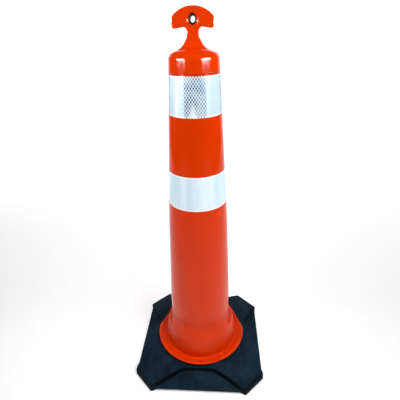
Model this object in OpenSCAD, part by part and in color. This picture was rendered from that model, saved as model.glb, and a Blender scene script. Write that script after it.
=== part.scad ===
// Free-standing delineator post: a hollow blow-moulded post with a T handle, two
// wrapped reflective bands and a heavy rubber base that the post twist-locks into.
// Millimetres, +Z up. The origin is at the middle of the base, on the ground, and the
// T handle runs along X.

/* [Post] */
// Height of the whole object from the ground
total_h = 1148; // [1125:1:1200]
// Radius of the head, at the foot of the shoulder
head_r = 68.2; // [67:0.1:72]
// Radius of the barrel where the steep upper taper ends
waist_r = 94; // [90:0.5:97]
// Height of the end of the steep upper taper
waist_z = 540; // [520:5:560]
// Radius of the barrel where the bell starts
barrel_r = 106.5; // [104:0.5:108]
// Thickness of the moulded wall
wall_t = 3; // [2:0.25:4]

/* [Handle] */
// Width of the T handle from tip to tip
handle_w = 108; // [100:1:116]
// Thickness of the T handle from front to back
handle_t = 34; // [30:1:40]
// Width of the neck under the T handle
neck_w = 30.6; // [26:0.2:34]
// Radius of the handle's crown
crown_r = 70.5; // [64:0.5:80]
// Radius of the handle's drooping tips
tip_r = 7.5; // [6:0.5:9]
// Radius of the moulded hole that holds the eyelet
eyelet_hole_r = 9; // [8.5:0.5:10]
// Radius of the hole through the eyelet
lamp_hole_r = 6.5; // [6:0.25:7]

/* [Reflective bands] */
// Height of each band
band_h = 105; // [95:1:110]
// Height of the upper edge of the upper band
upper_band_top = 987; // [975:1:1000]
// Height of the upper edge of the lower band
lower_band_top = 717; // [705:1:730]
// Thickness of the sheeting
band_t = 0.5; // [0.3:0.1:0.7]

/* [Bell and flange] */
// Radius of the bell at its foot
bell_r = 125.5; // [124:0.5:127]
// Radius of the flange
flange_r = 158; // [156:0.5:159]
// Height of the flange's rolled rim
rim_z = 60.2; // [59:0.2:62]
// Distance from the middle to the straight edges at the back of the flange
flange_flat = 150; // [148:0.5:156]
// Depth of the flat pressed into each side, just above the bell
side_flat_d = 7; // [4:0.5:9]

/* [Twist lock] */
// Radius of the spigot that drops into the base
spigot_r = 100; // [98:0.5:101]
// Height of the spigot's lower edge above the ground
spigot_z = 12; // [10:1:13]
// Number of locking lugs
lug_count = 4; // [3:1:4]
// Angle that each lug spans
lug_angle = 30; // [24:1:31]
// Angle that the post turns to unlock
unlock_angle = 45; // [40:1:45]
// How far each lug stands out from the spigot
lug_out = 9; // [6:0.5:10]

/* [Base] */
// Width of the square base
base_w = 440; // [430:5:460]
// Length of each cut corner, along the side
corner_cut = 64; // [55:1:75]
// Height of the hub
hub_h = 48; // [46:1:49]
// Height of each arm at the cut corner
arm_end_h = 30; // [26:1:34]
// Distance from the middle to the inner edge of each pocket
pocket_in = 161; // [160:1:164]
// Half of the width of a pocket's inner edge
pocket_half = 50; // [44:1:56]
// Height of the pocket floor at its inner edge
pocket_floor_h = 34; // [30:1:38]

/* [Hidden] */
$fn = 96;
eps = 0.01;

orange = [0.87, 0.22, 0.02];
sheeting = [0.86, 0.93, 0.97];
black_rubber = [0.06, 0.08, 0.10];

// Gap between the post and the base, on every flat face
seat_gap = 0.3;
// Loose fit of the spigot in the base
spigot_clearance = 1;

// Head, and the rounded edge and slope of its shoulder
shoulder_r = 14;
shoulder_z = total_h - 123;
shoulder_slope = 22;
crest_r = 24;
handle_foot_z = shoulder_z + shoulder_r;

// Barrel, bell and flange
bell_z = 65;
bell_arc = 256;
bell_top = bell_z + sqrt(bell_arc * bell_arc - pow(bell_arc - bell_r + barrel_r, 2));
seat_z = hub_h + seat_gap;
rim_r = 3.8;
flange_t = 6;
flange_seat_r = 132;
gutter_r = 129;
flange_top = seat_z + flange_t;
flange_flat_a = 22;
flat_h = 100;
flat_w = 90;
flat_foot_z = bell_top - 24;
bell_cut_z = flat_foot_z - 8;

// Recess that each band lies in, and the film of glue behind the sheeting
recess_d = 1.2;
glue_t = 0.05;

// Handle
tip_z = total_h - 44.2;
neck_low = total_h - 58.5;
neck_high = total_h - 58;
hole_z = total_h - 30.3;
flare_r = 50;
flare_a = 66;
flare_x = 62;
armpit_r = 10.5;
tip_a = 100;
foot_r = 22;
foot_rise = 1.2;
edge_r = 9;
dimple_r = 17;
dimple_d = 3;
boss_r = 20;
collar_t = 2;
collar_w = 19;
collar_h = 27;

// Twist lock
lug_z = spigot_z + 2;
ledge_z = 27;
lug_top = ledge_z - seat_gap;
stop_clearance = 0.7;
notch_clearance = 2;
lug_room = 2;
stop_a = 360 / lug_count - unlock_angle - lug_angle - 2 * stop_clearance;

// Base
pocket_crease = 200;
pocket_crease_h = 20;
pocket_out = 217;
pocket_out_h = 13;
under_bevel = 8;
arm_break = 185;

// Points along an arc from angle a0 to angle a1
function arc(c, r, a0, a1, n = 8) =
    [for (i = [0:n]) let (a = a0 + (a1 - a0) * i / n) c + r * [cos(a), sin(a)]];

// Radius of the barrel at height z
function barrel_at(z) = z > waist_z
    ? head_r + (waist_r - head_r) * (shoulder_z - z) / (shoulder_z - waist_z)
    : waist_r + (barrel_r - waist_r) * (waist_z - z) / (waist_z - bell_top);

// Radius of the bell at height z
function bell_at(z) = bell_r - bell_arc + sqrt(bell_arc * bell_arc - pow(z - bell_z, 2));

// Height of the shoulder's slope at radius r, moved inwards by inset
function shoulder_at(r, inset = 0) = shoulder_z + (shoulder_r - inset) / cos(shoulder_slope)
    + (head_r - shoulder_r - r) * tan(shoulder_slope);

// Corners of a band's recess, from its lower edge to its upper edge
function recess(top, depth) = [
    [barrel_at(top - band_h), top - band_h], [barrel_at(top - band_h) - depth, top - band_h],
    [barrel_at(top) - depth, top], [barrel_at(top), top]];

// Section of the post above the flange, moved inwards by inset
function upper_section(inset) = concat(
    [for (i = [0:10]) let (z = bell_z + (bell_top - bell_z) * i / 10) [bell_at(z) - inset, z]],
    [for (p = concat([[waist_r, waist_z]], recess(lower_band_top, recess_d))) p - [inset, 0]],
    [for (p = recess(upper_band_top, recess_d)) p - [inset, 0]],
    arc([head_r - shoulder_r, shoulder_z], shoulder_r - inset, 0, 90 - shoulder_slope),
    [[crest_r, shoulder_at(crest_r, inset)], [0, shoulder_at(crest_r, inset)]]);

// Right half of the T handle's outline, from the shoulder up to the crown
function handle_half(inset) = let (
    neck_x = neck_w / 2 - inset,
    flare = arc([neck_x + flare_r + inset, neck_low], flare_r + inset, 180 + flare_a, 180, 12),
    side_x = handle_w / 2 - inset,
    crown = crown_r - inset)
    concat(
        [[flare_x - inset, shoulder_z - 4],
         [flare_x - inset, flare[0].y - (flare_x - inset - flare[0].x) * tan(90 - flare_a)]],
        flare,
        arc([neck_x + armpit_r + inset, neck_high], armpit_r + inset, 180, tip_a, 8),
        arc([handle_w / 2 - tip_r, tip_z], tip_r - inset, -tip_a, 0, 8),
        arc([0, total_h - crown_r], crown, acos(side_x / crown), 90, 12));

// Right half of the T handle's side view: a rounded crown, and a foot that flares forward
function side_half(inset) = let (
    foot_x = handle_t / 2 + foot_r,
    foot = [foot_x, shoulder_at(foot_x) + foot_rise + foot_r],
    foot_a = 270 - asin(inset / (foot_r + inset)))
    concat(
        [[foot_x - inset, shoulder_z - 4]],
        arc(foot, foot_r + inset, foot_a, 180, 8),
        arc([handle_t / 2 - edge_r, total_h - edge_r], edge_r - inset, 0, 90, 6));

// An outline whose right half is given, closed by its mirror image
module mirrored_outline(half) {
    polygon(concat(half,
        [for (i = [len(half) - 1:-1:0]) if (half[i].x > eps) [-half[i].x, half[i].y]]));
}

module handle_solid(inset) {
    intersection() {
        rotate([90, 0, 0])
            linear_extrude(2 * head_r, center = true) mirrored_outline(handle_half(inset));
        rotate([90, 0, 90])
            linear_extrude(2 * head_r, center = true) mirrored_outline(side_half(inset));
        translate([0, 0, shoulder_z - 4])
            cylinder(r = head_r - shoulder_r / 2 - inset, h = total_h);
    }
}

// Flats pressed into both sides: deepest just above the bell, fading out upwards
module side_flats(inset) {
    deep_r = barrel_at(bell_top) - side_flat_d;
    lean = atan((barrel_at(flat_foot_z + flat_h) - deep_r) / flat_h);
    for (side = [0, 180])
        rotate([0, 0, side])
            translate([deep_r - inset, -flat_w / 2, flat_foot_z - inset])
                rotate([0, lean, 0]) cube([40, flat_w, flat_h + 20]);
}

// Outside of the post above the flange, as one solid
module post_outside() {
    section = concat(
        [[0, flange_top], [gutter_r, flange_top], [bell_r + 0.5, flange_top + 2]],
        upper_section(0));
    difference() {
        rotate_extrude() polygon(section);
        side_flats(0);
    }
    handle_solid(0);
}

// Hollow of the post, which runs up into the handle and leaves a boss around its hole
module post_inside() {
    section = concat(
        [[0, flange_top - 1], [bell_r - wall_t, flange_top - 1]],
        upper_section(wall_t));
    difference() {
        rotate_extrude() polygon(section);
        side_flats(wall_t);
    }
    difference() {
        handle_solid(wall_t);
        translate([0, 0, hole_z])
            rotate([90, 0, 0]) cylinder(r = boss_r, h = handle_t, center = true);
    }
}

module post_moulding() {
    difference() {
        post_outside();
        post_inside();
        handle_hole();
    }
}

// Hole through the handle, with a shallow dimple around it on both faces
module handle_hole() {
    translate([0, 0, hole_z]) {
        rotate([90, 0, 0]) cylinder(r = eyelet_hole_r, h = handle_t + 2, center = true);
        for (side = [0, 180])
            rotate([0, 0, side])
                translate([0, handle_t / 2 - dimple_d, 0])
                    rotate([-90, 0, 0])
                        cylinder(r1 = dimple_r - dimple_d, r2 = dimple_r + eps,
                                 h = dimple_d + eps);
    }
}

module locking_lugs() {
    for (i = [0:lug_count - 1])
        rotate([0, 0, i * 360 / lug_count - lug_angle / 2])
            rotate_extrude(angle = lug_angle)
                translate([spigot_r - wall_t + 1, lug_z])
                    square([lug_out + wall_t - 1, lug_top - lug_z]);
}

// Straight edges of the flange, one on each side of its back half
module flange_flats() {
    for (a = [flange_flat_a, 180 - flange_flat_a])
        rotate([0, 0, a])
            translate([flange_flat, -flange_r / 2, seat_z - 1]) cube([20, flange_r, 20]);
}

// Foot of the post: the spigot with its lugs, and the flange that rests on the base
module post_flange() {
    inner_r = spigot_r - wall_t;
    section = concat(
        [[inner_r, spigot_z], [spigot_r, spigot_z], [spigot_r, seat_z], [flange_seat_r, seat_z]],
        arc([flange_r - rim_r, rim_z], rim_r, -70, 110),
        [[gutter_r, flange_top], [inner_r, flange_top]]);
    color(orange) {
        difference() {
            rotate_extrude() polygon(section);
            flange_flats();
        }
        locking_lugs();
    }
}

// Length of the moulding between two heights
module post_length(low, high) {
    color(orange)
        intersection() {
            post_moulding();
            translate([0, 0, low]) cylinder(r = flange_r, h = high - low);
        }
}

// Widening foot of the barrel, which stands on the flange
module post_bell() {
    post_length(seat_z, bell_cut_z);
}

// Slightly tapered barrel, with the pressed side flats near its foot
module lower_barrel() {
    post_length(bell_cut_z, waist_z);
}

// Steeply tapered barrel, up to the rounded edge of the shoulder
module upper_barrel() {
    post_length(waist_z, handle_foot_z);
}

// T handle, with its flared foot and the sloping shoulder that it stands on
module t_handle() {
    post_length(handle_foot_z, total_h + 1);
}

// Liner of the handle's hole: a tube with a flat oval collar on each face
module handle_eyelet() {
    barrel_l = handle_t - 2 * dimple_d;
    color(black_rubber)
        translate([0, 0, hole_z])
            difference() {
                union() {
                    rotate([90, 0, 0])
                        cylinder(r = eyelet_hole_r - glue_t, h = barrel_l, center = true);
                    for (side = [0, 180])
                        rotate([0, 0, side])
                            translate([0, barrel_l / 2 + collar_t, 0]) eyelet_collar();
                }
                rotate([90, 0, 0]) cylinder(r = lamp_hole_r, h = handle_t + 2, center = true);
            }
}

module eyelet_collar() {
    rise = (collar_h - collar_w) / 2;
    rotate([90, 0, 0])
        linear_extrude(collar_t) {
            for (up = [-rise, rise])
                translate([0, up]) circle(r = collar_w / 2);
            square([collar_w, 2 * rise], center = true);
        }
}

// Sleeve of sheeting, wrapped around the barrel in its recess
module reflective_band(top) {
    low = top - band_h;
    back = recess_d - glue_t;
    color(sheeting)
        rotate_extrude()
            polygon([[barrel_at(low) - back, low + glue_t],
                     [barrel_at(low) - back + band_t, low + glue_t],
                     [barrel_at(top) - back + band_t, top - glue_t],
                     [barrel_at(top) - back, top - glue_t]]);
}

module upper_reflective_band() {
    reflective_band(upper_band_top);
}

module lower_reflective_band() {
    reflective_band(lower_band_top);
}

// Outline of the base from above: a square with its corners cut
module base_outline() {
    half = base_w / 2;
    cut = half - corner_cut;
    polygon([[half, -cut], [half, cut], [cut, half], [-cut, half],
             [-half, cut], [-half, -cut], [-cut, -half], [cut, -half]]);
}

// One pocket, on the +X side: its floor falls outwards and its outer edge is bevelled
module base_pocket() {
    half = base_w / 2;
    cut = half - corner_cut;
    slope = (cut - pocket_half) / (half - pocket_in);
    reach = half + 10;
    intersection() {
        rotate([90, 0, 0])
            linear_extrude(base_w, center = true)
                polygon([[pocket_in, hub_h + 10], [pocket_in, pocket_floor_h],
                         [pocket_crease, pocket_crease_h], [pocket_out, pocket_out_h],
                         [pocket_out - under_bevel, -1], [reach, -1], [reach, hub_h + 10]]);
        translate([0, 0, -2])
            linear_extrude(hub_h + 20)
                polygon([[pocket_in, -pocket_half], [reach, -cut - slope * 10],
                         [reach, cut + slope * 10], [pocket_in, pocket_half]]);
    }
}

// Wedge that is cut from the top of the arm along +X, so that it falls towards its end
module arm_slope() {
    arm_end = (base_w - corner_cut) / sqrt(2);
    fall = atan((hub_h - arm_end_h) / (arm_end - arm_break));
    translate([arm_break, -base_w / 2, hub_h]) rotate([0, fall, 0]) cube([150, base_w, 50]);
}

// Round opening of the base: a ledge with one notch for each lug, and stops below it
module lock_opening() {
    pitch = 360 / lug_count;
    track_r = spigot_r + lug_out + lug_room;
    notch_a = lug_angle + 2 * notch_clearance;
    translate([0, 0, -1]) cylinder(r = spigot_r + spigot_clearance, h = hub_h + 2);
    difference() {
        translate([0, 0, -1]) cylinder(r = track_r, h = ledge_z + 1);
        for (i = [0:lug_count - 1])
            rotate([0, 0, i * pitch + unlock_angle + lug_angle / 2 + stop_clearance])
                rotate_extrude(angle = stop_a)
                    translate([spigot_r - 5, -2]) square([track_r - spigot_r + 10, ledge_z + 5]);
    }
    for (i = [0:lug_count - 1])
        rotate([0, 0, i * pitch + unlock_angle - notch_a / 2])
            rotate_extrude(angle = notch_a)
                translate([spigot_r - 5, ledge_z - 1])
                    square([track_r - lug_room / 2 - spigot_r + 5, hub_h]);
}

module rubber_base() {
    color(black_rubber)
        difference() {
            linear_extrude(hub_h) base_outline();
            for (side = [0:90:270]) {
                rotate([0, 0, side]) base_pocket();
                rotate([0, 0, side + 45]) arm_slope();
            }
            lock_opening();
        }
}

t_handle();
handle_eyelet();
upper_barrel();
lower_barrel();
post_bell();
post_flange();
upper_reflective_band();
lower_reflective_band();
rubber_base();
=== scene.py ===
import math

import bpy
import numpy as np
from mathutils import Matrix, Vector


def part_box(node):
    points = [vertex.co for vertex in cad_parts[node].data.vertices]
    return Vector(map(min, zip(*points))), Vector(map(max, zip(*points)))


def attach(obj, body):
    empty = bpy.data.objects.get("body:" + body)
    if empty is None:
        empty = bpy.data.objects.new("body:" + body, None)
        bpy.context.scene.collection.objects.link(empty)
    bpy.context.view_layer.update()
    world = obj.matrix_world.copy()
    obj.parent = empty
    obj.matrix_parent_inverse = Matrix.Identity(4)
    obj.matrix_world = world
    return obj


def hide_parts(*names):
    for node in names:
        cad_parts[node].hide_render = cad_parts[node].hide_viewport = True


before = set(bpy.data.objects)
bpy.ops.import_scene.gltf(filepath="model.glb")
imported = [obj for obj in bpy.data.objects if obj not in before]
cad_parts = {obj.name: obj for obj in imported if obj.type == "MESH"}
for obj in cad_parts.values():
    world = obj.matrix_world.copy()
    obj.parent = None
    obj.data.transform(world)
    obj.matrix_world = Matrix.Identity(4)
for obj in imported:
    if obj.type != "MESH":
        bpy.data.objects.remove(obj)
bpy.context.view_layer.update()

# The finer meshes of the delineator post. Shapes are worked out in millimetres, in the
# frame's own axes, and turned into metres where a mesh is made. Materials work in metres.
MM = 0.001


def node_box(node):
    """Lowest and highest corner of a CAD node, in millimetres."""
    low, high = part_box(node)
    return np.array(low) / MM, np.array(high) / MM


HANDLE_HIGH = node_box("t_handle")[1]
FLANGE_LOW, FLANGE_HIGH = node_box("post_flange")
EYELET_LOW, EYELET_HIGH = node_box("handle_eyelet")
UPPER_LOW, UPPER_HIGH = node_box("upper_reflective_band")
LOWER_LOW, LOWER_HIGH = node_box("lower_reflective_band")
BASE_HIGH = node_box("rubber_base")[1]

# T handle: its outline, the hole for the eyelet and the dimple around the hole
TOP = HANDLE_HIGH[2]
HANDLE_W = 108.0
HANDLE_T = EYELET_HIGH[1] - EYELET_LOW[1] + 2
HANDLE_EDGE = 2.0
NECK_W = 30.6
CROWN_R = 70.5
CORNER_R = 9.0
TIP_R, TIP_Z = 7.5, TOP - 44.2
ARMPIT_R, ARMPIT_Z = 10.5, TOP - 58.0
FLARE_R, FLARE_Z = 50.0, TOP - 58.5
FLARE_FOOT, FLARE_SLOPE = 62.0, math.radians(24)
HOLE_Z = (EYELET_LOW[2] + EYELET_HIGH[2]) / 2
HOLE_W, HOLE_H = 9.0, 11.0
DIMPLE_W, DIMPLE_UP, DIMPLE_DOWN, DIMPLE_D = 13.8, 15.5, 19.0, 2.4
DIMPLE_FLARE = 0.7

# Head and shoulder, with the curve that leads up from the shoulder to the handle's faces
WALL = 3.0
HEAD_R = 68.2
SHOULDER_Z = TOP - 123
SHOULDER_R = 14.0
SHOULDER_SLOPE = math.radians(22)
FOOT_R, FOOT_RISE = 28.0, 1.0
FOOT_INSET = 8.0

# Tapered barrel, and the two flats that start in the bell
WAIST_R, WAIST_Z = 94.0, 540.0
BARREL_R = 106.5
FLAT_DROP, FLAT_DEPTH, FLAT_RUN = 24.0, 7.0, 100.0

# Bell, flange and spigot
FLANGE_R = FLANGE_HIGH[1]
SEAT_Z = BASE_HIGH[2] + 0.3
FLANGE_TOP = SEAT_Z + 6
GUTTER_R = 129.0
BELL_R, BELL_Z, BELL_ARC = 125.5, 65.0, 256.0
BELL_TOP = BELL_Z + math.sqrt(BELL_ARC ** 2 - (BELL_ARC - BELL_R + BARREL_R) ** 2)
RIM_R = 3.8
RIM_Z = FLANGE_HIGH[2] - RIM_R
RIM_SLOPE = math.radians(22)
STRAIGHT_R, STRAIGHT_AT = 150.0, (22, 158)
SPIGOT_R, SPIGOT_Z = 100.0, FLANGE_LOW[2]

# Locking lugs, and the opening in the base that they turn in
LUG_COUNT, LUG_ANGLE, UNLOCK_ANGLE = 4, 30.0, 45.0
LUG_PITCH = 360 / LUG_COUNT
LUG_R, LUG_EDGE = 109.0, 0.8
LEDGE_Z = 27.0
LUG_LOW, LUG_HIGH = SPIGOT_Z + 2, LEDGE_Z - 0.3
HOLE_R, NOTCH_R, TRACK_R = SPIGOT_R + 1, LUG_R + 1, LUG_R + 2
NOTCH_ANGLE = LUG_ANGLE + 4
STOP_GAP = 0.7
STOP_ANGLE = LUG_PITCH - UNLOCK_ANGLE - LUG_ANGLE - 2 * STOP_GAP
STOP_AT = UNLOCK_ANGLE + LUG_ANGLE / 2 + STOP_GAP + STOP_ANGLE / 2

# Bands: their recess in the post, their sheeting, and where its end laps over its start
RECESS = 1.2
SHEET_T = 0.5
GLUE_T = 0.05
LAP_T = 0.25
LAP_HALF, LAP_RUN = math.radians(4.3), math.radians(1.4)

# Base: square with cut corners, an arm to each corner, and a pocket between two arms
BASE_HALF = BASE_HIGH[0]
CORNER_CUT = 64.0
HUB_H = BASE_HIGH[2]
ARM_BREAK, ARM_END_H = 185.0, 30.0
ARM_TIP_H, ARM_TIP_IN, ARM_TIP_SLOPE = 24.0, 2.0, 0.9
POCKET_IN, POCKET_FLOOR_H, POCKET_HALF = 161.0, 34.0, 50.0
POCKET_CREASE, POCKET_CREASE_H = 200.0, 20.0
POCKET_OUT, POCKET_OUT_H = 217.0, 13.0
UNDER_BEVEL = 8.0


# ---------------------------------------------------------------- shape functions

def smooth_min(a, b, k):
    """The smaller of two distances, with their crease rounded over about k."""
    h = np.maximum(k - np.abs(a - b), 0) / k
    return np.minimum(a, b) - h * h * k / 4


def smooth_max(a, b, k):
    """The larger of two distances, with their crease rounded over about k."""
    return -smooth_min(-a, -b, k)


def arc(cx, cz, r, a0, a1, n):
    """Points along an arc in n steps, angles in degrees."""
    a = np.radians(np.linspace(a0, a1, n + 1))
    return list(zip(cx + r * np.cos(a), cz + r * np.sin(a)))


def polyline_distance(points, x, z):
    """Signed distance to the outline made by points, x >= 0, closed along the axis x = 0."""
    distance = np.full(x.shape, 1e9)
    inside = np.zeros(x.shape, bool)
    for (x0, z0), (x1, z1) in zip(points[:-1], points[1:]):
        dx, dz = x1 - x0, z1 - z0
        t = np.clip(((x - x0) * dx + (z - z0) * dz) / (dx * dx + dz * dz), 0, 1)
        distance = np.minimum(distance, np.hypot(x - x0 - t * dx, z - z0 - t * dz))
        crosses = (z0 > z) != (z1 > z)
        at = x0 + (z - z0) / (dz if dz else 1e-9) * dx
        inside ^= crosses & (x < at)
    return np.where(inside, -distance, distance)


def surface_net(field, low, high, step):
    """Quads over the zero surface of field, with each point moved onto that surface."""
    axes = [np.arange(a, b + step, step) for a, b in zip(low, high)]
    grid = np.stack(np.meshgrid(*axes, indexing="ij"), -1)
    values = field(grid.reshape(-1, 3)).reshape(grid.shape[:3])
    cells = tuple(n - 1 for n in values.shape)
    total = np.zeros(cells + (3,))
    count = np.zeros(cells)
    corner = [(i, j, k) for i in (0, 1) for j in (0, 1) for k in (0, 1)]

    def at(array, c):
        return array[c[0]:c[0] + cells[0], c[1]:c[1] + cells[1], c[2]:c[2] + cells[2]]

    for a in corner:
        for axis in range(3):
            if a[axis]:
                continue
            b = tuple(v + (i == axis) for i, v in enumerate(a))
            va, vb = at(values, a), at(values, b)
            cut = (va < 0) != (vb < 0)
            t = np.where(cut, va / np.where(cut, va - vb, 1), 0)[..., None]
            total += np.where(cut[..., None], at(grid, a) * (1 - t) + at(grid, b) * t, 0)
            count += cut
    used = count > 0
    index = np.full(cells, -1)
    index[used] = np.arange(used.sum())
    points = total[used] / count[used][:, None]

    faces = []
    for axis in range(3):
        near = [slice(1, -1)] * 3
        far = list(near)
        near[axis], far[axis] = slice(0, -1), slice(1, None)
        va, vb = values[tuple(near)], values[tuple(far)]
        for rising in (True, False):
            cut = ((va < 0) & (vb >= 0)) if rising else ((va >= 0) & (vb < 0))
            at_cell = np.argwhere(cut) + [0 if i == axis else 1 for i in range(3)]
            u, v = [(1, 2), (2, 0), (0, 1)][axis]
            ring = [(0, 0), (-1, 0), (-1, -1), (0, -1)]
            quad = []
            for du, dv in ring if rising else ring[::-1]:
                c = at_cell.copy()
                c[:, u] += du
                c[:, v] += dv
                quad.append(index[c[:, 0], c[:, 1], c[:, 2]])
            faces.append(np.stack(quad, -1))
    faces = np.concatenate(faces)
    faces = faces[(faces >= 0).all(1)]
    return relax(field, settle(field, points, step), faces, step), faces


def relax(field, points, faces, step):
    """Evens out the spacing of points along the surface, leaving open edges alone."""
    a, b = faces.ravel(), np.roll(faces, -1, axis=1).ravel()
    size = len(points)
    key, count = np.unique(np.minimum(a, b) * size + np.maximum(a, b), return_counts=True)
    ends = np.stack([key // size, key % size])
    fixed = np.zeros(size, bool)
    fixed[ends[:, count == 1].ravel()] = True
    for _ in range(3):
        total = np.zeros((size, 3))
        for one, other in (ends, ends[::-1]):
            for k in range(3):
                total[:, k] += np.bincount(one, points[other, k], size)
        valence = np.bincount(ends.ravel(), minlength=size)
        middle = total / np.maximum(valence, 1)[:, None]
        moved = settle(field, points + 0.6 * (middle - points), step, 1)
        points = np.where(fixed[:, None], points, moved)
    return points


def field_slope(field, points):
    """Direction in which a field grows, at each point."""
    small = 0.02
    return np.stack([(field(points + d) - field(points - d)) / (2 * small)
                     for d in np.eye(3) * small], -1)


def settle(field, points, step, rounds=5):
    """Moves points along the field's slope until they lie on its zero surface."""
    for _ in range(rounds):
        slope = field_slope(field, points)
        move = slope * (field(points) / np.maximum((slope ** 2).sum(1), 1e-6))[:, None]
        points = points - np.clip(move, -step / 2, step / 2)
    return points


def mesh_object(name, points, faces, material, smooth=True, normals=None):
    """A mesh object made from millimetre points. Where a normal is zero, faces decide it."""
    mesh = bpy.data.meshes.new(name)
    mesh.from_pydata((np.asarray(points) * MM).tolist(), [], [list(map(int, f)) for f in faces])
    mesh.validate()
    mesh.update()
    if smooth:
        mesh.shade_smooth()
    if normals is not None:
        mesh.normals_split_custom_set_from_vertices(normals.tolist())
    mesh.materials.append(material)
    made = bpy.data.objects.new(name, mesh)
    bpy.context.scene.collection.objects.link(made)
    return made


# ---------------------------------------------------------------- materials

class Nodes:
    """A material's node tree, with a short way to add and join nodes."""

    def __init__(self, name):
        self.material = bpy.data.materials.new(name)
        self.material.use_nodes = True
        self.tree = self.material.node_tree
        self.shader = self.tree.nodes["Principled BSDF"]
        self.place = self.add("ShaderNodeTexCoord").outputs["Object"]

    def add(self, kind, inputs=None, **settings):
        node = self.tree.nodes.new(kind)
        for key, value in settings.items():
            setattr(node, key, value)
        for key, value in (inputs or {}).items():
            self.put(node.inputs[key], value)
        return node

    def put(self, socket, value):
        if isinstance(value, bpy.types.NodeSocket):
            self.tree.links.new(value, socket)
        else:
            socket.default_value = value

    def math(self, operation, *values):
        node = self.add("ShaderNodeMath", operation=operation)
        for socket, value in zip(node.inputs, values):
            self.put(socket, value)
        return node.outputs[0]

    def noise(self, scale, detail=3.0, rough=0.5, stretch=(1, 1, 1)):
        place = self.add("ShaderNodeMapping", {"Vector": self.place, "Scale": stretch})
        node = self.add("ShaderNodeTexNoise", {"Vector": place.outputs[0], "Scale": scale,
                                               "Detail": detail, "Roughness": rough})
        return node.outputs["Fac"]

    def ramp(self, value, low, high, to_low=0.0, to_high=1.0):
        """Smooth step of value from low..high to to_low..to_high."""
        node = self.add("ShaderNodeMapRange",
                        {"Value": value, "From Min": low, "From Max": high,
                         "To Min": to_low, "To Max": to_high},
                        interpolation_type="SMOOTHSTEP")
        return node.outputs[0]

    def mix(self, factor, a, b):
        node = self.add("ShaderNodeMix", data_type="RGBA")
        self.put(node.inputs[0], factor)
        self.put(node.inputs[6], a)
        self.put(node.inputs[7], b)
        return node.outputs[2]

    def bump(self, height, strength, distance, normal=None):
        node = self.add("ShaderNodeBump", {"Height": height, "Strength": strength,
                                           "Distance": distance})
        if normal is not None:
            self.put(node.inputs["Normal"], normal)
        return node.outputs[0]

    def xyz(self):
        return self.add("ShaderNodeSeparateXYZ", {"Vector": self.place}).outputs

    def finish(self, **inputs):
        for key, value in inputs.items():
            self.put(self.shader.inputs[key.replace("_", " ")], value)
        return self.material


def orange_plastic():
    """Glossy blow-moulded orange, a little uneven, with a mould seam and light scuffs.

    The foot is matter, and dirt gathers there.
    """
    n = Nodes("orange_plastic")
    x, y, z = n.xyz()
    tone = n.mix(n.noise(9, 2), (0.61, 0.031, 0.0001, 1), (0.68, 0.038, 0.0002, 1))
    low = n.ramp(z, 0.25, 0.02)
    dirt = n.math("MULTIPLY", n.ramp(n.noise(38, 5, 0.65), 0.52, 0.74), low)
    tone = n.mix(n.math("MULTIPLY", dirt, 0.35), tone, (0.46, 0.045, 0.01, 1))
    scuff = n.ramp(n.noise(60, 4, 0.7, (1, 1, 0.12)), 0.64, 0.74)
    tone = n.mix(n.math("MULTIPLY", scuff, 0.07), tone, (0.9, 0.20, 0.08, 1))
    grain = n.bump(n.noise(420, 2), 0.08, 0.0005)
    wave = n.bump(n.noise(26, 1, 0.4, (1, 1, 0.35)), 0.20, 0.0006, grain)
    seam = n.math("SUBTRACT", 1.0, n.ramp(n.math("ABSOLUTE", y), 0.0003, 0.0011))
    ridge = n.bump(seam, 0.5, 0.0004, wave)
    rough = n.math("ADD", n.ramp(n.noise(70, 4, 0.6), 0.3, 0.7, 0.06, 0.10),
                   n.math("MULTIPLY", n.math("ADD", scuff, dirt), 0.18))
    foot = n.ramp(z, 0.218, 0.182)
    rough = n.math("ADD", rough, n.math("MULTIPLY", foot, 0.30))
    return n.finish(Base_Color=tone, Roughness=rough, Normal=ridge, IOR=1.45,
                    Specular_IOR_Level=0.27, Specular_Tint=(1.0, 0.8, 0.72, 1))


def black_rubber(name, bare_and_shaded, dust_and_lit_top_colour, rough_low, rough_high, grain):
    """Moulded rubber with a mottled skin, paler on the faces that look up: dust lies there, and
    the pale tops with dark steep walls are also painted top light and shade.
    """
    n = Nodes(name)
    facing = n.add("ShaderNodeSeparateXYZ",
                   {"Vector": n.add("ShaderNodeNewGeometry").outputs["True Normal"]}).outputs
    # Painted top light and shade: faces that look up are made paler and steep walls stay dark, as
    # if lit from above. The blotches and streaks below are dust.
    painted_top_light = n.ramp(facing["Z"], 0.35, 0.93)
    blotch = n.ramp(n.noise(14, 5, 0.62), 0.30, 0.74, 0.35, 1.0)
    streak = n.ramp(n.noise(46, 4, 0.7, (1, 0.45, 1)), 0.35, 0.8, 0.55, 1.0)
    dust_and_top_light = n.math("MULTIPLY", painted_top_light, n.math("MULTIPLY", blotch, streak))
    colour = n.mix(dust_and_top_light, bare_and_shaded, dust_and_lit_top_colour)
    scratch = n.ramp(n.noise(30, 5, 0.75, (1, 3.5, 1)), 0.66, 0.72)
    colour = n.mix(n.math("MULTIPLY", scratch, 0.35), colour, dust_and_lit_top_colour)
    fine = n.bump(n.noise(900, 3, 0.6), 0.25, grain)
    broad = n.bump(n.noise(85, 4, 0.6), 0.30, grain * 3, fine)
    rough = n.ramp(n.noise(55, 4, 0.6), 0.3, 0.75, rough_low, rough_high)
    return n.finish(Base_Color=colour, Roughness=rough, Normal=broad,
                    Specular_IOR_Level=0.05)


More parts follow.
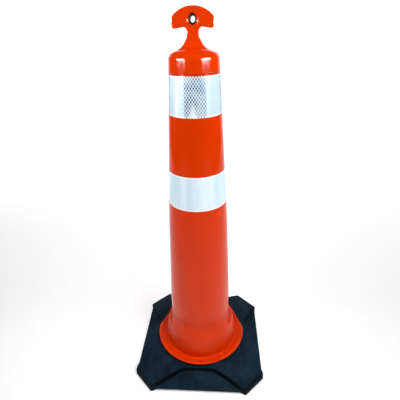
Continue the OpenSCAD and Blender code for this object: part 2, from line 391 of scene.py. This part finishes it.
def reflective_sheeting(name, low, high, lap, prisms):
    """White sheeting, whiter where its end laps over its start, with a painted edge highlight.

    Azimuths are measured from the front, and lap is the lap's, in degrees. Prisms show as a
    lattice of small blue-grey dots on whiter sheeting, in one patch for each quarter of the band.
    The first patch is centred on the camera's azimuth. The patches are painted reflection:
    outside them the lattice is hidden, as if washed out by reflections.
    """
    n = Nodes(name)
    x, y, z = n.xyz()
    azimuth = n.math("ARCTAN2", x, n.math("MULTIPLY", y, -1.0))
    whitest = (0.93, 0.98, 1.0, 1)
    haze = n.ramp(n.noise(17, 2, 0.5, (1, 1, 0.10)), 0.36, 0.62)
    dull, bright = (0.50, 0.66, 0.77, 1), (0.68, 0.82, 0.91, 1)
    # The plain band's sheeting is paler: partly its own tone, partly painted light that makes up
    # for the weaker light lower on the post.
    if not prisms:
        dull, bright = (0.58, 0.75, 0.84, 1), (0.75, 0.88, 0.95, 1)
    tone = n.mix(haze, dull, bright)
    half = (high - low) / 2
    from_middle = n.math("ABSOLUTE", n.math("SUBTRACT", z, (low + high) / 2 * MM))
    # Painted highlight: a strip along the top and bottom edges is made whiter, as if the film's
    # edge caught the light.
    margin = n.ramp(from_middle, (half - 6) * MM, (half - 3) * MM)
    from_lap = n.math("ABSOLUTE", n.math("SUBTRACT", azimuth, math.radians(lap)))
    double = n.ramp(from_lap, 0.072, 0.045)
    edge_highlight_and_lap = n.math("MAXIMUM", n.math("MULTIPLY", margin, 0.6), double)
    tone = n.mix(edge_highlight_and_lap, tone, whitest)
    if prisms:
        camera_azimuth, windows = math.radians(4.2), 4
        dots_around, dot_rise = 60, 0.0112
        worn_z, worn_at, worn_slope = 0.917, 0.09, 5.2
        angle = n.math("SUBTRACT", azimuth, camera_azimuth)
        across = n.math("MULTIPLY", angle, dots_around / 2)
        up = n.math("MULTIPLY", z, math.pi / dot_rise)
        rising, falling = [n.math("ABSOLUTE", n.math("COSINE", n.math(way, across, up)))
                           for way in ("ADD", "SUBTRACT")]
        dots = n.ramp(n.math("MULTIPLY", rising, falling), 0.24, 0.38)
        # Painted reflection: the lattice shows, on whiter sheeting, only in a patch around the
        # camera's azimuth, one each quarter turn; elsewhere it is hidden as if washed out by
        # reflections.
        painted_view_patch = n.ramp(n.math("COSINE", n.math("MULTIPLY", angle, windows)), -0.25, 0.1)
        tone = n.mix(n.math("MULTIPLY", painted_view_patch, 0.25), tone, whitest)
        patchy = n.ramp(n.noise(30, 2), 0.35, 0.62, 0.7, 1.0)
        below = n.math("MULTIPLY", n.math("SUBTRACT", z, worn_z), worn_slope)
        beside = n.math("ABSOLUTE", n.math("ADD", angle, worn_at))
        worn = n.ramp(n.math("ADD", beside, below), -0.10, 0.08)
        shown = n.math("MULTIPLY", n.math("MULTIPLY", dots, painted_view_patch), patchy)
        shown = n.math("MULTIPLY", shown, worn)
        tone = n.mix(shown, tone, (0.022, 0.085, 0.19, 1))
    grime = n.ramp(n.noise(75, 5, 0.7), 0.66, 0.8)
    tone = n.mix(n.math("MULTIPLY", grime, 0.25), tone, (0.45, 0.47, 0.47, 1))
    normal = n.bump(n.noise(120, 2, 0.5, (1, 1, 0.3)), 0.08, 0.0004)
    return n.finish(Base_Color=tone, Roughness=0.34, Normal=normal, Coat_Weight=0.2,
                    Coat_Roughness=0.08, Specular_IOR_Level=0.1)


def plain_floor():
    """White, and glowing a little more towards the back, so that no horizon shows."""
    n = Nodes("plain_floor")
    glow = n.ramp(n.xyz()[1], -0.5, 2.0, 0.14, 0.74)
    return n.finish(Base_Color=(0.97, 0.97, 0.97, 1), Roughness=0.7,
                    Specular_IOR_Level=0.1, Emission_Color=(1, 1, 1, 1),
                    Emission_Strength=glow)


# ---------------------------------------------------------------- the post

def upper_radius(z):
    """Radius of the post's outside at height z, above the waist."""
    return HEAD_R + (WAIST_R - HEAD_R) * (SHOULDER_Z - z) / (SHOULDER_Z - WAIST_Z)


def barrel_radius(z):
    """Radius of the post's outside at height z, above the bell."""
    lower = WAIST_R + (BARREL_R - WAIST_R) * (WAIST_Z - z) / (WAIST_Z - BELL_TOP)
    return upper_radius(z) if z > WAIST_Z else lower


def bell_radius(z):
    """Radius of the bell's outside at height z."""
    return BELL_R - BELL_ARC + math.sqrt(BELL_ARC ** 2 - (z - BELL_Z) ** 2)


def handle_outline():
    """Right half of the T handle's outline, from the shoulder up to the crown."""
    neck, side, buried = NECK_W / 2, HANDLE_W / 2, SHOULDER_Z - 30
    flare = arc(neck + FLARE_R, FLARE_Z, FLARE_R, 246, 180, 28)
    foot_z = flare[0][1] - (FLARE_FOOT - flare[0][0]) * math.tan(FLARE_SLOPE)
    crown_z = TOP - CROWN_R
    corner_a = math.degrees(math.acos((side - CORNER_R) / (CROWN_R - CORNER_R)))
    corner_z = crown_z + (CROWN_R - CORNER_R) * math.sin(math.radians(corner_a))
    return ([(0.0, buried), (FLARE_FOOT, buried), (FLARE_FOOT, foot_z)] + flare
            + arc(neck + ARMPIT_R, ARMPIT_Z, ARMPIT_R, 180, 100, 16)
            + arc(side - TIP_R, TIP_Z, TIP_R, -100, 0, 16)
            + arc(side - CORNER_R, corner_z, CORNER_R, 0, corner_a, 8)
            + arc(0, crown_z, CROWN_R, corner_a, 90, 32))


def shoulder_at(r):
    """Height of the shoulder's slope at radius r."""
    return (SHOULDER_Z + SHOULDER_R / math.cos(SHOULDER_SLOPE)
            + (HEAD_R - SHOULDER_R - r) * math.tan(SHOULDER_SLOPE))


def oval(x, z, half_x, up, down):
    """Distance to an egg shape around the handle's hole, with its own reach up and down."""
    tall = np.where(z > 0, up, down)
    return (np.sqrt((x / half_x) ** 2 + (z / tall) ** 2) - 1) * half_x


def head_field(points):
    """Distance to the post's head, shoulder and T handle, as one smooth solid."""
    x, y, z = points.T
    r = np.hypot(x, y)
    flat = polyline_distance(handle_outline(), np.abs(x), z) + HANDLE_EDGE
    foot_y = HANDLE_T / 2 + FOOT_R
    below = np.maximum(FOOT_R + FOOT_RISE + shoulder_at(foot_y) - z, 0)
    deep = (FOOT_R - np.hypot(np.maximum(foot_y - np.abs(y), 0), below)
            + np.maximum(np.abs(y) - foot_y, 0))
    deep = np.where(below > 0, deep, np.abs(y) - HANDLE_T / 2) + HANDLE_EDGE
    blade = (np.minimum(np.maximum(flat, deep), 0)
             + np.hypot(np.maximum(flat, 0), np.maximum(deep, 0)) - HANDLE_EDGE)
    blade = smooth_max(blade, r - HEAD_R + FOOT_INSET, 3)

    out, up = r - HEAD_R + SHOULDER_R, z - SHOULDER_Z
    slope = up * math.cos(SHOULDER_SLOPE) + out * math.sin(SHOULDER_SLOPE)
    across = up * math.sin(SHOULDER_SLOPE) - out * math.cos(SHOULDER_SLOPE)
    head = np.where(up <= 0, r - upper_radius(z),
                    np.where(across > 0, slope, np.hypot(out, up)) - SHOULDER_R)
    solid = smooth_min(blade, head, 7.0)

    depth = HANDLE_T / 2 - np.abs(y)
    dimple = oval(x, z - HOLE_Z, DIMPLE_W, DIMPLE_UP, DIMPLE_DOWN) + DIMPLE_FLARE * depth
    solid = smooth_max(solid, -np.maximum(dimple, depth - DIMPLE_D), 1.2)
    return smooth_max(solid, -oval(x, z - HOLE_Z, HOLE_W, HOLE_H, HOLE_H), 0.8)


def head_shell_field(points):
    """Distance to the wall of the head, which is hollow."""
    outside = head_field(points)
    return np.maximum(outside, -(outside + WALL))


def flat_clamp(points, inset):
    """Presses the two side flats into rings of points around the barrel."""
    foot = BELL_TOP - FLAT_DROP
    deep = barrel_radius(BELL_TOP) - FLAT_DEPTH
    lean = (barrel_radius(foot + FLAT_RUN) - deep) / FLAT_RUN
    x, y, z = points.T
    pressed = smooth_min(np.abs(x), deep + (z - foot) * lean - inset, 3.0)
    above = z >= foot - 0.01
    return np.column_stack([np.sign(x) * np.where(above, pressed, np.abs(x)), y, z])


def flange_clamp(points):
    """Straightens the two back edges of the flange."""
    x, y, z = points.T
    r, a = np.hypot(x, y), np.degrees(np.arctan2(y, x))
    limit = np.full(r.shape, FLANGE_R)
    for middle in STRAIGHT_AT:
        facing = np.cos(np.radians(a - middle))
        straight = np.where(facing > 0.3, STRAIGHT_R / np.maximum(facing, 0.3), 2 * FLANGE_R)
        limit = smooth_min(limit, straight, 1.5)
    share = np.clip((r - GUTTER_R) / (FLANGE_R - GUTTER_R), 0, 1)
    moved = r + share * (limit - FLANGE_R)
    scale = np.where(z < RIM_Z + 6, moved / np.maximum(r, 1e-6), 1)
    return np.column_stack([x * scale, y * scale, z])


def recess_rings(top, low):
    """Rings of one band's recess. Those beside each step keep its shading to itself."""
    beside = (2.2, 1.0)
    step_r, step_z, foot_z = 0.3, 0.25, 0.05
    rings = [(barrel_radius(top + z), top + z) for z in beside]
    rings += [(barrel_radius(top) - step_r, top + step_z),
              (barrel_radius(top) - RECESS, top + foot_z)]
    rings += [(barrel_radius(z) - RECESS, z) for z in np.linspace(top, low, 6)[1:-1]]
    rings += [(barrel_radius(low) - RECESS, low - foot_z),
              (barrel_radius(low) - step_r, low - step_z)]
    return rings + [(barrel_radius(low - z), low - z) for z in reversed(beside)]


def outer_profile(join_z):
    """Rings of the post's outside, from the top of the barrel down to the spigot."""
    rings = [(barrel_radius(join_z), join_z)]
    for top, low in ((UPPER_HIGH[2], UPPER_LOW[2]), (LOWER_HIGH[2], LOWER_LOW[2])):
        while rings[-1][1] - top > 28:
            z = rings[-1][1] - 20
            rings.append((barrel_radius(z), z))
        rings += recess_rings(top, low)
    z = rings[-1][1] - 18
    while z > BELL_TOP + 8:
        rings.append((barrel_radius(z), z))
        z -= 12 if z < 300 else 18
    flat_foot = BELL_TOP - FLAT_DROP
    for z in np.linspace(BELL_TOP + 6, flat_foot + 0.6, 10):
        rings.append((float(smooth_max(bell_radius(z), barrel_radius(z), 2.0)), z))
    for z in np.linspace(flat_foot - 0.6, BELL_Z - 2, 14):
        rings.append((bell_radius(z), z))
    rings += [(BELL_R, FLANGE_TOP + 4.5), (BELL_R + 0.3, FLANGE_TOP + 1.9),
              (BELL_R + 0.9, FLANGE_TOP + 0.7), (BELL_R + 1.8, FLANGE_TOP + 0.15)]
    lip = arc(FLANGE_R - RIM_R, RIM_Z, RIM_R, 112, -70, 14)
    run, climb = lip[0][0] - GUTTER_R, lip[0][1] - FLANGE_TOP
    end_slope = math.tan(RIM_SLOPE) * run
    for t in np.linspace(0, 1, 12)[:-1]:
        rise = climb * t * t * (3 - 2 * t) + end_slope * t * t * (t - 1)
        rings.append((GUTTER_R + run * t, FLANGE_TOP + rise))
    rings += lip
    rings += [(145.0, SEAT_Z + 5.2), (132.0, SEAT_Z + 0.3), (130.0, SEAT_Z),
              (SPIGOT_R + 1, SEAT_Z), (SPIGOT_R, SEAT_Z - 1), (SPIGOT_R, 30.0),
              (SPIGOT_R, SPIGOT_Z + 1), (SPIGOT_R - 1, SPIGOT_Z)]
    return rings


def inner_profile(join_z):
    """Rings of the post's hollow, from the spigot's mouth up to the top of the barrel."""
    inner = SPIGOT_R - WALL
    rings = [(inner + 1, SPIGOT_Z), (inner, SPIGOT_Z + 1), (inner, 35.0),
             (inner, FLANGE_TOP - 1), (inner + 1, FLANGE_TOP),
             (BELL_R - WALL - 2, FLANGE_TOP), (BELL_R - WALL, FLANGE_TOP + 2)]
    for z in np.linspace(BELL_Z, BELL_TOP, 14):
        barrel = barrel_radius(z) if z > BELL_TOP - 3 else 0
        rings.append((max(bell_radius(z), barrel) - WALL, z))
    z = BELL_TOP + 10
    while z < join_z - 20:
        extra = RECESS if (LOWER_LOW[2] < z < LOWER_HIGH[2] or UPPER_LOW[2] < z) else 0
        rings.append((barrel_radius(z) - WALL - extra, z))
        z += 18
    rings.append((barrel_radius(join_z) - WALL, join_z))
    return rings


def around(segments):
    """Angles of the points in one ring."""
    return np.linspace(0, 2 * math.pi, segments, endpoint=False)


def turned(rings, segments):
    """Points of rings around Z. A radius is one number, or one for each point."""
    a = around(segments)
    return np.concatenate([np.column_stack([r * np.cos(a), r * np.sin(a),
                                            np.full(segments, float(z))]) for r, z in rings])


def ring_faces(count, segments, closed):
    """Quads that join count rings in turn, and the last ring to the first if closed."""
    faces = []
    for i in range(count if closed else count - 1):
        m = (i + 1) % count
        for j in range(segments):
            k = (j + 1) % segments
            faces.append((i * segments + j, m * segments + j, m * segments + k,
                          i * segments + k))
    return faces


def boundary_loops(faces):
    """Open edges of a mesh, as ordered rings of point numbers."""
    edges = dict.fromkeys((int(a), int(b)) for f in faces for a, b in zip(f, np.roll(f, -1)))
    after = {a: b for a, b in edges if (b, a) not in edges}
    loops = []
    while after:
        ring, at = [], next(iter(after))
        while at in after:
            ring.append(at)
            at = after.pop(at)
        loops.append(ring)
    return loops


def stitch(points, ring_a, ring_b):
    """Triangles that join two rings around Z with different numbers of points."""
    def by_angle(ring):
        turn = np.arctan2(points[ring][:, 1], points[ring][:, 0])
        order = np.argsort(turn)
        return [ring[i] for i in order], turn[order]

    def next_turn(turn, i):
        if i + 1 < len(turn):
            return turn[i + 1]
        return turn[0] + 2 * math.pi if i < len(turn) else math.inf

    a, ta = by_angle(np.array(ring_a))
    b, tb = by_angle(np.array(ring_b))
    i = j = 0
    faces = []
    while i < len(a) or j < len(b):
        if next_turn(ta, i) <= next_turn(tb, j):
            faces.append((a[i % len(a)], a[(i + 1) % len(a)], b[j % len(b)]))
            i += 1
        else:
            faces.append((a[i % len(a)], b[(j + 1) % len(b)], b[j % len(b)]))
            j += 1
    return faces


def lugs():
    """Points and quads of the locking lugs, which start inside the spigot's wall."""
    points, faces = [], []
    root = SPIGOT_R - 2
    section = [(root, LUG_LOW), (LUG_R - LUG_EDGE, LUG_LOW), (LUG_R, LUG_LOW + LUG_EDGE),
               (LUG_R, LUG_HIGH - LUG_EDGE), (LUG_R - LUG_EDGE, LUG_HIGH), (root, LUG_HIGH)]
    steps = 10
    for lug in range(LUG_COUNT):
        first = len(points)
        for i in range(steps + 1):
            a = math.radians(LUG_PITCH * lug - LUG_ANGLE / 2 + LUG_ANGLE * i / steps)
            points += [(r * math.cos(a), r * math.sin(a), z) for r, z in section]
        n = len(section)
        for i in range(steps):
            for j in range(n):
                k = (j + 1) % n
                base = first + i * n
                faces.append((base + j, base + n + j, base + n + k, base + k))
        faces.append(tuple(first + j for j in range(n)))
        faces.append(tuple(first + steps * n + j for j in reversed(range(n))))
    return np.array(points), faces


def build_post(material):
    """The whole moulding: a head from its field, joined to a turned body, and the lugs."""
    join = UPPER_HIGH[2] + 4
    step = 1.3
    reach = HEAD_R + 3 * step
    head, head_faces = surface_net(head_shell_field, (-reach, -reach, join),
                                   (reach, reach, TOP + 3 * step), step)
    head_normals = field_slope(head_shell_field, head)
    loops = sorted(boundary_loops(head_faces),
                   key=lambda ring: -np.hypot(*head[ring][:, :2].T).mean())
    rim_z = join + 1
    for ring, radius in zip(loops, (barrel_radius(rim_z), barrel_radius(rim_z) - WALL)):
        turn = np.arctan2(head[ring][:, 1], head[ring][:, 0])
        head[ring] = np.column_stack([radius * np.cos(turn), radius * np.sin(turn),
                                      np.full(len(ring), rim_z)])
        head_normals[ring] = 0

    segments = 192
    outside, inside = outer_profile(join), inner_profile(join)
    body = turned(outside + inside, segments)
    body_faces = ring_faces(len(outside + inside), segments, closed=False)
    inset = np.zeros(len(body))
    inset[len(outside) * segments:] = WALL
    body = flange_clamp(flat_clamp(body, inset))

    lug, lug_faces = lugs()
    points = np.concatenate([head, body, lug])
    faces = [tuple(f) for f in head_faces]
    faces += [tuple(i + len(head) for i in f) for f in body_faces]
    faces += [tuple(i + len(head) + len(body) for i in f) for f in lug_faces]
    outer_ring = [len(head) + i for i in range(segments)]
    inner_ring = [len(head) + len(body) - segments + i for i in range(segments)]
    faces += stitch(points, loops[0], outer_ring)
    faces += [f[::-1] for f in stitch(points, loops[1], inner_ring)]
    normals = np.zeros(points.shape)
    normals[:len(head)] = head_normals
    post = mesh_object("moulded_post", points, faces, material, normals=normals)
    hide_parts("t_handle", "upper_barrel", "lower_barrel", "post_bell", "post_flange")
    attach(post, "post")


# ---------------------------------------------------------------- the bands

def build_band(name, node, low, high, lap, prisms):
    """A wrapped strip whose end laps over its start at azimuth lap."""
    segments, rows = 256, 6
    back, edge, cut = RECESS - GLUE_T, 0.16, 0.032
    zs = [low + cut, low + edge, low + 1]
    zs += list(np.linspace(low, high, rows)[1:-1])
    zs += [high - 1, high - edge, high - cut]
    lap_at = math.radians(lap - 90)
    from_lap = (around(segments) - lap_at + math.pi) % (2 * math.pi) - math.pi
    double = LAP_T * np.clip(LAP_HALF - np.abs(from_lap), 0, LAP_RUN) / LAP_RUN
    rings = [(barrel_radius(z) - back, z) for z in zs]
    for z in reversed(zs):
        thick = SHEET_T * (0.6 if z in (zs[0], zs[-1]) else 1.0)
        rings.append((barrel_radius(z) - back + thick + double, z))
    band = mesh_object(name, turned(rings, segments),
                       ring_faces(len(rings), segments, closed=True),
                       reflective_sheeting(name + "_sheeting", low, high, lap, prisms))
    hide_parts(node)
    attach(band, "post")


# ---------------------------------------------------------------- the eyelet

def build_eyelet(material):
    """A rubber liner: an oval tube whose two ends swell into thick oval lips."""
    lip, segments = EYELET_HIGH[1], 72
    edge_highlight_and_lap, tube = np.array([6.4, 8.1]), np.array([8.9, 10.8])
    outer = np.array([EYELET_HIGH[0], (EYELET_HIGH[2] - EYELET_LOW[2]) / 2]) - 0.05
    half = [(0.0, 0.0), (0.0, lip - 2.6), (0.06, lip - 1.3), (0.2, lip - 0.5),
            (0.38, lip - 0.1), (0.55, lip), (0.74, lip - 0.2), (0.9, lip - 0.8),
            (1.0, lip - 1.8), (1.0, lip - 2.2)]
    path = [(t, -y) for t, y in half[:0:-1]] + half
    rings = [(edge_highlight_and_lap + t * (outer - edge_highlight_and_lap), y) for t, y in path]
    rings += [(tube, lip - 2.4), (tube, 2.4 - lip)]
    a = around(segments)
    points = np.concatenate([np.column_stack([size[0] * np.cos(a), np.full(segments, y),
                                              HOLE_Z + size[1] * np.sin(a)])
                             for size, y in rings])
    faces = ring_faces(len(rings), segments, closed=True)
    eyelet = mesh_object("eyelet_liner", points, faces, material)
    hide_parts("handle_eyelet")
    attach(eyelet, "post")


# ---------------------------------------------------------------- the base

def above_line(along, z, start, fall):
    """Distance to the space above a line through start, which drops by fall per length."""
    return (start[1] - z - fall * (along - start[0])) / math.hypot(1, fall)


def pocket_field(long, short, z):
    """Distance to the open space of the pocket between two arms."""
    inner = (POCKET_IN, POCKET_FLOOR_H)
    crease = (POCKET_CREASE, POCKET_CREASE_H)
    outer = (POCKET_OUT, POCKET_OUT_H)
    widening = (BASE_HALF - CORNER_CUT - POCKET_HALF) / (BASE_HALF - POCKET_IN)
    side = short - POCKET_HALF - widening * (long - POCKET_IN)
    plan = smooth_max(POCKET_IN - long, side / math.hypot(1, widening), 4)
    floor = smooth_min(
        above_line(long, z, inner, (inner[1] - crease[1]) / (crease[0] - inner[0])),
        above_line(long, z, crease, (crease[1] - outer[1]) / (outer[0] - crease[0])), 3)
    under = UNDER_BEVEL / POCKET_OUT_H
    edge = (z * under + POCKET_OUT - UNDER_BEVEL - long) / math.hypot(1, under)
    return smooth_max(plan, smooth_min(floor, edge, 2.5), 2.5)


def lock_field(x, y, z):
    """Distance to the base's opening: the hole, the lugs' track with its stops, the notches."""
    r = np.hypot(x, y)
    turn = (np.degrees(np.arctan2(y, x)) + 360) % LUG_PITCH
    middle_r = (SPIGOT_R + NOTCH_R) / 2
    notch_side = np.radians(np.abs(turn - UNLOCK_ANGLE) - NOTCH_ANGLE / 2) * middle_r
    stop_side = np.radians(np.abs(turn - STOP_AT) - STOP_ANGLE / 2) * middle_r
    hole = r - HOLE_R
    stop = smooth_max(stop_side, -hole, 0.5)
    track = smooth_max(np.maximum(r - TRACK_R, z - LEDGE_Z), -stop, 0.8)
    notch = np.maximum(r - NOTCH_R, notch_side)
    return np.minimum(np.minimum(hole, track), notch)


def base_field(points):
    """Distance to the moulded rubber base."""
    x, y, z = points.T
    ax, ay = np.abs(x), np.abs(y)
    long, short = np.maximum(ax, ay), np.minimum(ax, ay)
    diagonal = (long + short) / math.sqrt(2)
    arm_end = (2 * BASE_HALF - CORNER_CUT) / math.sqrt(2)
    solid = smooth_max(long - BASE_HALF, diagonal - arm_end, 4)
    solid = smooth_max(solid, z - HUB_H, 3.5)
    fall = math.atan2(HUB_H - ARM_END_H, arm_end - ARM_BREAK)
    slope = (z - HUB_H) * math.cos(fall) + (diagonal - ARM_BREAK) * math.sin(fall)
    solid = smooth_max(solid, slope, 5)
    tip = ((z - ARM_TIP_H) * math.cos(ARM_TIP_SLOPE)
           + (diagonal - arm_end + ARM_TIP_IN) * math.sin(ARM_TIP_SLOPE))
    solid = smooth_max(solid, tip, 5)
    solid = smooth_max(solid, -pocket_field(long, short, z), 2.2)
    solid = smooth_max(solid, -z, 1.2)
    return smooth_max(solid, -lock_field(x, y, z), 1.2)


def build_base(material):
    """The base from its field, stretched back to its full width and flat on the floor."""
    step = 2.6
    half = BASE_HALF + 2 * step
    points, faces = surface_net(base_field, (-half, -half, -2 * step),
                                (half, half, HUB_H + 2 * step), step)
    points[:, :2] *= (BASE_HALF - 0.05) / np.abs(points[:, :2]).max()
    points[:, 2] = np.maximum(points[:, 2], 0)
    base = mesh_object("moulded_base", points, faces, material)
    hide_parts("rubber_base")
    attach(base, "base")


# ---------------------------------------------------------------- camera and studio

def build_camera():
    """The photograph's view: from just above the handle, looking down at the base."""
    distance, height = 0.962, 1.086
    azimuth, down, roll = math.radians(4.2), math.radians(24.68), math.radians(1.52)
    data = bpy.data.cameras.new("camera")
    data.lens = 30.63
    data.shift_x = 0.0065
    data.shift_y = -0.0268
    data.clip_end = 40
    camera = bpy.data.objects.new("camera", data)
    place = Matrix.Translation((distance * math.sin(azimuth), -distance * math.cos(azimuth),
                                height))
    camera.matrix_world = (place @ Matrix.Rotation(azimuth, 4, "Z")
                           @ Matrix.Rotation(math.pi / 2 - down, 4, "X")
                           @ Matrix.Rotation(-roll, 4, "Z"))
    bpy.context.scene.collection.objects.link(camera)
    bpy.context.scene.camera = camera


def area_light(name, azimuth, distance, height, size, power, aim, spread=180, mirrored=False):
    """A lamp around the post, facing its axis at height aim. Azimuth 0 is the front.

    A mirrored one only makes highlights, any other only lights the surfaces softly.
    """
    data = bpy.data.lights.new(name, "AREA")
    data.shape = "RECTANGLE"
    data.size, data.size_y = size
    data.energy = power
    data.spread = math.radians(spread)
    lamp = bpy.data.objects.new(name, data)
    a = math.radians(azimuth)
    x, y = distance * math.sin(a), -distance * math.cos(a)
    tilt = math.atan2(height - aim, distance)
    lamp.matrix_world = (Matrix.Translation((x, y, height)) @ Matrix.Rotation(a, 4, "Z")
                         @ Matrix.Rotation(math.pi / 2 - tilt, 4, "X"))
    lamp.visible_diffuse = not mirrored
    lamp.visible_glossy = mirrored
    bpy.context.scene.collection.objects.link(lamp)


def build_studio():
    """The floor, the lamps, and a room that is white behind the post and dark elsewhere.

    The softboxes, with a dim panel under each, make the highlights. The fills and the
    overhead light do the lighting and make none.
    """
    world = bpy.data.worlds.new("studio")
    world.use_nodes = True
    nodes, links = world.node_tree.nodes, world.node_tree.links
    direction = nodes.new("ShaderNodeTexCoord").outputs["Generated"]
    split = nodes.new("ShaderNodeSeparateXYZ")
    links.new(direction, split.inputs[0])
    glow = nodes.new("ShaderNodeMapRange")
    glow.interpolation_type = "SMOOTHSTEP"
    for key, value in {"From Min": 0.55, "From Max": 0.80, "To Min": 0.03, "To Max": 1.2}.items():
        glow.inputs[key].default_value = value
    links.new(split.outputs["Y"], glow.inputs[0])
    links.new(glow.outputs[0], nodes["Background"].inputs[1])
    nodes["Background"].inputs[0].default_value = (0.97, 0.98, 1, 1)
    bpy.context.scene.world = world

    for side, azimuth, power in (("left", -60, 11.5), ("right", 62, 13.0)):
        area_light("fill_" + side, azimuth, distance=0.95, height=1.35, size=(0.8, 0.4),
                   power=power, aim=1.0)
        area_light("softbox_" + side, azimuth * 0.94, distance=1.15, height=1.24,
                   size=(0.9, 0.36), power=24, aim=1.1, spread=70, mirrored=True)
        area_light("panel_" + side, azimuth * 1.08, distance=1.15, height=1.03,
                   size=(0.26, 0.05), power=0.26, aim=1.0, mirrored=True)
    area_light("fill_low", 35, distance=1.3, height=1.6, size=(0.5, 0.5), power=0.6,
               aim=0.0, spread=36)
    overhead = bpy.data.lights.new("overhead", "SUN")
    overhead.energy = 0.55
    overhead.angle = math.radians(50)
    sky = bpy.data.objects.new("overhead", overhead)
    sky.visible_glossy = False
    bpy.context.scene.collection.objects.link(sky)

    half = 2.4 / MM
    corners = [(-half, -half, 0), (half, -half, 0), (half, half, 0), (-half, half, 0)]
    floor = mesh_object("floor", corners, [(0, 1, 2, 3)], plain_floor(), smooth=False)
    bpy.context.scene.view_settings.view_transform = "Standard"


build_camera()
build_studio()
build_post(orange_plastic())
build_band("prismatic_band", "upper_reflective_band", UPPER_LOW[2], UPPER_HIGH[2], -38, True)
build_band("plain_band", "lower_reflective_band", LOWER_LOW[2], LOWER_HIGH[2], 150, False)
# The eyelet's near-black colours are partly painted shade: besides black rubber, they stand in
# for the shade deep inside the hole.
build_eyelet(black_rubber("eyelet_rubber", (0.0006, 0.0006, 0.0007, 1),
                          (0.003, 0.003, 0.003, 1), 0.35, 0.5, 0.0001))
build_base(black_rubber("base_rubber", (0.0010, 0.0034, 0.0066, 1),
                        (0.0125, 0.0330, 0.0540, 1), 0.5, 0.75, 0.0003))
